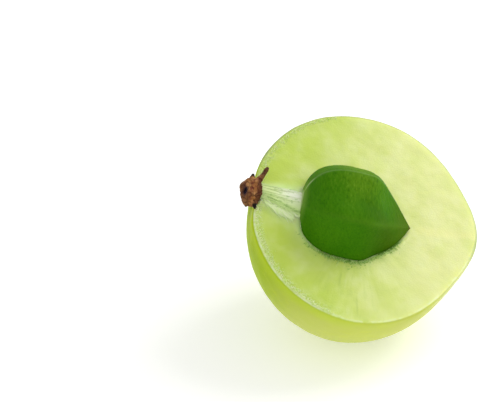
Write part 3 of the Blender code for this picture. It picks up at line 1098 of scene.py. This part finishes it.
def add_to(whole, part):
    """Adds one mesh to another, and says how many points it brings."""
    carrier = bpy.data.meshes.new("carrier")
    part.to_mesh(carrier)
    whole.from_mesh(carrier)
    part.free()
    brought = len(carrier.vertices)
    bpy.data.meshes.remove(carrier)
    return brought


def strand_surface(x, around, depth):
    """A place in or on the strand, as a share of its half sizes there."""
    (middle_y, middle_z), (half_y, half_z) = strand_middle(x)
    y = middle_y + depth * half_y * np.cos(around)
    z = middle_z + depth * half_z * np.sin(around)
    return np.stack([x, y, z], 1)


def loose_fibre(draw):
    """A thin fibre that winds along the top of the strand."""
    start = draw.uniform(0.0, 0.5)
    steps = np.linspace(start, min(1.0, start + draw.uniform(0.35, 0.8)), FIBRE_STEPS)
    x = STRAND_START[0] + STRAND_RUN * steps
    angle = draw.uniform(0.35, 2.8) + draw.uniform(-0.5, 0.5) * steps
    wave = 0.03 * np.sin(steps * draw.uniform(8, 16) + draw.uniform(0, 6))
    path = strand_surface(x, angle, 0.97 + wave)
    from_middle = np.abs(np.linspace(-1, 1, FIBRE_STEPS))
    thick = draw.uniform(*LOOSE_RADIUS) * (1 - 0.7 * from_middle)
    return tube(path, thick, FIBRE_SIDES)


def fringe_fibre(draw):
    """A thin fibre that leaves the strand's lower side and lies down on the flesh."""
    steps = np.linspace(0, 1, FRINGE_STEPS)
    start = draw.uniform(STRAND_START[0] + 0.8, STRAND_END[0] - 0.5)
    x = np.minimum(start + draw.uniform(0.7, 1.9) * steps, STRAND_END[0] + 0.1)
    aside = draw.uniform(0.78, 1.12) + draw.uniform(0.0, 0.55) * steps
    aside += 0.04 * np.sin(steps * draw.uniform(3, 9) + draw.uniform(0, 6))
    (middle_y, middle_z), (half_y, half_z) = strand_middle(x)
    on_strand = middle_z + 0.95 * half_z * np.sqrt(np.clip(1 - aside**2, 0, 1))
    on_flesh = CUT_HEIGHT + STRAND_FILLET * fade(aside, 1.9, 0.95)
    path = np.stack([x, middle_y - aside * half_y, np.maximum(on_strand, on_flesh) + 0.02], 1)
    thick = draw.uniform(*FRINGE_RADIUS) * (1 - 0.8 * np.abs(2 * steps - 1))
    return tube(path, thick, FIBRE_SIDES)


def make_strand(material):
    """A closed bundle with ridges along it, loose fibres over it and a fringe on its lower side."""
    draw = random.Random(7)
    middles = np.linspace(STRAND_START[0], STRAND_END[0], STRAND_STEPS)
    path = np.stack([middles, 0 * middles, 0 * middles], 1)
    bm = tube(path, np.ones(STRAND_STEPS), STRAND_SIDES)
    round_tube = points_of(bm)
    x = round_tube[:, 0]
    around = np.arctan2(round_tube[:, 2], round_tube[:, 1])
    twist = STRAND_TWIST * (x - STRAND_START[0]) / STRAND_RUN
    turned = around + twist
    ridges = lumps(np.stack([0.16 * x, 1.7 * np.cos(turned), 1.7 * np.sin(turned)], 1), 0.33, 3, 41)
    groove = bump(around - (GROOVE_HEADING + twist), 0.13)
    move_to(bm, strand_surface(x, around, 0.94 + 0.035 * ridges - 0.1 * groove))
    # A low tint in the groove and between the ridges, which the look paints as shade; loose fibres get
    # random tints.
    tints = list(0.6 + 0.3 * ridges - 0.6 * groove)
    for _ in range(LOOSE_FIBRES):
        fibre = loose_fibre(draw)
        tints += [draw.uniform(0.1, 1.0)] * add_to(bm, fibre)
    for _ in range(FRINGE_FIBRES):
        tints += [draw.uniform(0.8, 1.8)] * add_to(bm, fringe_fibre(draw))
    finish_piece("strand_of_fibres", bm, material, ["fibre_strand"], {"tint": tints})


def strand_look():
    """Whitish towards the stone and on the upper side, partly as painted light; greener below,
    lightened there with painted light; streaked along its length.
    """
    look = Look("pale fibres", Specular_IOR_Level=0.3)
    x, y, _ = look.axes()
    streaks = look.grain(5.5, 4.0, 0.65, at=look.place((0.18, 1.0, 1.0)))
    dashes = look.grain(4.2, 2.0, 0.6, at=look.place((0.4, 1.0, 1.0)))
    tint = look.attribute("tint")
    # The upper side is whiter partly as painted light, and the lower side gets a brighter green that
    # stands in for light.
    upper = (y + x * 0.18 + 2.1).fade(-1.0, 1.0)
    white_and_lit_top = x.fade(-11.5, -8.0) * (0.35 + upper * 0.65)
    speckled = (dashes + (0.5 - tint) * 0.2).fade(0.54, 0.62) * x.fade(-6.6, -8.2)
    pale = look.paint(
        look.blend(white_and_lit_top, FIBRE_GREEN, FIBRE_WHITE),
        ((1 - upper) * 0.8, LOWER_FIBRES_LIGHTENED),
        (streaks.fade(0.5, 0.3) * 0.4, FIBRE_STREAK),
        (speckled * 0.6, FIBRE_DASH),
        # Painted shade in the groove and between ridges, and darker loose fibres.
        (tint.fade(0.35, 0.0) * 0.35, GROOVE_SHADE_AND_DARK_FIBRES),
        (tint.fade(1.1, 1.5) * 0.6, FRINGE_WHITE),
    )
    return look.finish(pale, 0.35 + streaks * 0.2, look.relief(streaks, 0.03 * MM))


# Stalk cap
CAP_GRID = (96, 64)
CAP_VOXEL = 0.055
CAP_CORNER = (-1.4, 0.67, -0.1)
CAP_CORNER_HEIGHT = 0.28
PLATE_SIZE = 1.05
CREASE_DEPTH = 0.09
LUMP_HEIGHT = 0.07
GRAIN_HEIGHT = 0.025

CAP_BROWN = (0.31, 0.12, 0.032)
CAP_TAN = (0.51, 0.245, 0.09)
SPECK_TAN = (0.5, 0.28, 0.16)
SPECK_BROWN = (0.08, 0.025, 0.006)
PATCH_RED = (0.15, 0.022, 0.018)
CREASE_DARK_AND_SHADE = (0.035, 0.01, 0.004)
# Painted shade on the cap's outer end.
OUTER_END_SHADE = (0.11, 0.048, 0.02)
INNER_RED = (0.07, 0.012, 0.008)
# Painted shade round the sunk scar.
SHADE_ROUND_SCAR = (0.06, 0.024, 0.022)
SCAR_BLACK = (0.012, 0.006, 0.016)
SEPAL_BROWN = (0.05, 0.018, 0.007)
POINT_BLACK = (0.012, 0.007, 0.004)


def joined_cap():
    """The knob and its sepals, joined into one closed skin."""
    knob = unit_ball(*CAP_GRID, "X")
    ball = points_of(knob)
    move_to(knob, CAP_CENTRE + ball * cap_reach(ball)[:, None])
    for path in SEPALS:
        add_to(knob, tube([row[:3] for row in path], [row[3] for row in path], SEPAL_SIDES))
    holder = put_in_scene("cap before joining", mesh_of("cap before joining", knob))
    joining = holder.modifiers.new("join", "REMESH")
    joining.mode = "VOXEL"
    joining.voxel_size = CAP_VOXEL
    bpy.context.view_layer.update()
    evaluated = holder.evaluated_get(bpy.context.evaluated_depsgraph_get())
    joined = bpy.data.meshes.new_from_object(evaluated)
    bpy.data.objects.remove(holder)
    bm = bmesh.new()
    bm.from_mesh(joined)
    bmesh.ops.smooth_vert(bm, verts=bm.verts, factor=0.5)
    return bm


def make_cap(material):
    bm = joined_cap()
    points = points_of(bm)
    to_cap = points - CAP_CENTRE
    headings = to_cap / lengths(to_cap)[:, None]
    bent = points + 0.3 * np.stack([lumps(points, 0.6, 2, seed) for seed in (21, 22, 23)], 1)
    crease = 1 - fade(cells(bent, PLATE_SIZE, 3), 0.0, 0.13)
    height = LUMP_HEIGHT * lumps(points, 0.9, 3, 24) - CREASE_DEPTH * crease
    height += GRAIN_HEIGHT * lumps(points, 0.22, 3, 25)
    corner = np.array(Vector(CAP_CORNER).normalized())
    from_corner = np.arccos(np.clip(headings @ corner, -1, 1))
    height += CAP_CORNER_HEIGHT * bump(from_corner, 0.4)
    height *= 0.35 + 0.65 * fade(lengths(to_cap), 2.4, 1.7)
    points = points + outward(bm) * height[:, None]
    move_to(bm, points)
    ends = [np.array(path[-1][:3]) for path in SEPALS[1:]]
    values = {
        "crease": crease,
        "hole": bump(angle_from_scar(headings), 0.8 * SCAR_SPREAD),
        "tip": fade(lengths(to_cap), 1.75, 2.5),
        "point": np.max([bump(lengths(points - end), 0.7) for end in ends], 0),
    }
    finish_piece("cap_woody", bm, material, ["stalk_cap"], values)


def cap_look():
    """Dry cracked brown with red patches, a black scar and black points, with painted shade on the
    outer end, round the scar and in the creases.
    """
    look = Look("dry stalk cap", Specular_IOR_Level=0.12)
    x, y, _ = look.axes()
    hole = look.attribute("hole")
    tip = look.attribute("tip")
    patches = look.grain(0.9)
    specks = look.grain(5.0, 4.0, 0.7)
    red = look.grain(1.3, 2.0).fade(0.52, 0.66)
    # Painted shade: the outer end darker, as if shaded.
    outer = (x + y * 0.35 + patches * 0.5).fade(-13.55, -14.1)
    fruit_side = (x + patches * 0.6).fade(-12.9, -12.4) * (1 - tip)
    brown = look.paint(
        look.blend(patches.fade(0.4, 0.6), CAP_BROWN, CAP_TAN),
        (specks.fade(0.55, 0.75) * 0.4, SPECK_TAN),
        (specks.fade(0.45, 0.3) * 0.5, SPECK_BROWN),
        (red * 0.8, PATCH_RED),
        # Darker in the creases: partly the cracks' own colour, partly painted shade.
        (look.attribute("crease") * 0.7, CREASE_DARK_AND_SHADE),
        (outer * 0.6, OUTER_END_SHADE),
        (fruit_side * 0.8, INNER_RED),
        # Painted shade round the sunk scar.
        (hole.fade(0.02, 0.3) * 0.75, SHADE_ROUND_SCAR),
        (hole.fade(0.22, 0.5), SCAR_BLACK),
        (tip * (y + x * 1.2).fade(-13.5, -12.2) * 0.8, SEPAL_BROWN),
        (look.attribute("point").fade(0.2, 0.6), POINT_BLACK),
    )
    return look.finish(brown, 0.5 + specks * 0.3, look.relief(specks, 0.05 * MM))


# Surroundings
PHOTO_WIDTH = 500
PHOTO_HEIGHT = 402
FOCAL_PIXELS = 1903.7
CENTRE_PIXEL = (359.0, 218.6)
CAMERA_DISTANCE = 227.1 * MM
CAMERA_ELEVATION = math.radians(30)
SENSOR_WIDTH = 36.0
FRUIT_CENTRE = Vector((0, 0, REST_HEIGHT * MM))
FLOOR_HALF_SIZE = 3.0
FLOOR_GLOW = 0.38
SKY_STRENGTH = 0.64
KEY_PLACE = Vector((0.24, 0.14, 0.26))
KEY_SIZE = 0.25
KEY_POWER = 0.75


def make_floor():
    bm = bmesh.new()
    bmesh.ops.create_grid(bm, x_segments=1, y_segments=1, size=FLOOR_HALF_SIZE)
    floor = put_in_scene("floor", mesh_of("floor", bm))
    look = Look("pale floor", Emission_Strength=FLOOR_GLOW)
    look.give("Emission Color", (1.0, 1.0, 0.97))
    floor.data.materials.append(look.finish((0.9, 0.9, 0.9), 0.9))


def make_world():
    world = bpy.data.worlds.new("studio")
    bpy.context.scene.world = world
    world.use_nodes = True
    background = world.node_tree.nodes["Background"]
    background.inputs["Color"].default_value = (1, 1, 1, 1)
    background.inputs["Strength"].default_value = SKY_STRENGTH
    bpy.context.scene.view_settings.view_transform = "Standard"


def make_key_lamp():
    """A square soft lamp behind and to the right, turned to the fruit's middle."""
    lamp = bpy.data.lights.new("key from the right", "AREA")
    lamp.size = KEY_SIZE
    lamp.energy = KEY_POWER
    holder = put_in_scene("key from the right", lamp)
    holder.location = KEY_PLACE
    holder.rotation_euler = (FRUIT_CENTRE - KEY_PLACE).to_track_quat("-Z", "Y").to_euler()


def make_camera():
    """Looks down on the fruit from the front, with the fruit's centre at its place in the frame."""
    camera = bpy.data.cameras.new("camera")
    camera.sensor_width = SENSOR_WIDTH
    camera.lens = SENSOR_WIDTH * FOCAL_PIXELS / PHOTO_WIDTH
    camera.clip_start = CAMERA_DISTANCE / 20
    holder = put_in_scene("camera", camera)
    to_camera = Vector((0, -math.cos(CAMERA_ELEVATION), math.sin(CAMERA_ELEVATION)))
    straight = (-to_camera).to_track_quat("-Z", "Y").to_matrix().to_4x4()
    yaw = math.atan((CENTRE_PIXEL[0] - PHOTO_WIDTH / 2) / FOCAL_PIXELS)
    pitch = math.atan((CENTRE_PIXEL[1] - PHOTO_HEIGHT / 2) / FOCAL_PIXELS * math.cos(yaw))
    aside = Matrix.Rotation(yaw, 4, "Y") @ Matrix.Rotation(pitch, 4, "X")
    place = Matrix.Translation(FRUIT_CENTRE + to_camera * CAMERA_DISTANCE)
    holder.matrix_world = place @ straight @ aside
    bpy.context.scene.camera = holder


make_flesh(flesh_look())
make_wet_cells(wet_cell_look())
make_shreds(shred_look())
make_stone(stone_look())
make_strand(strand_look())
make_cap(cap_look())
make_floor()
make_world()
make_key_lamp()
make_camera()
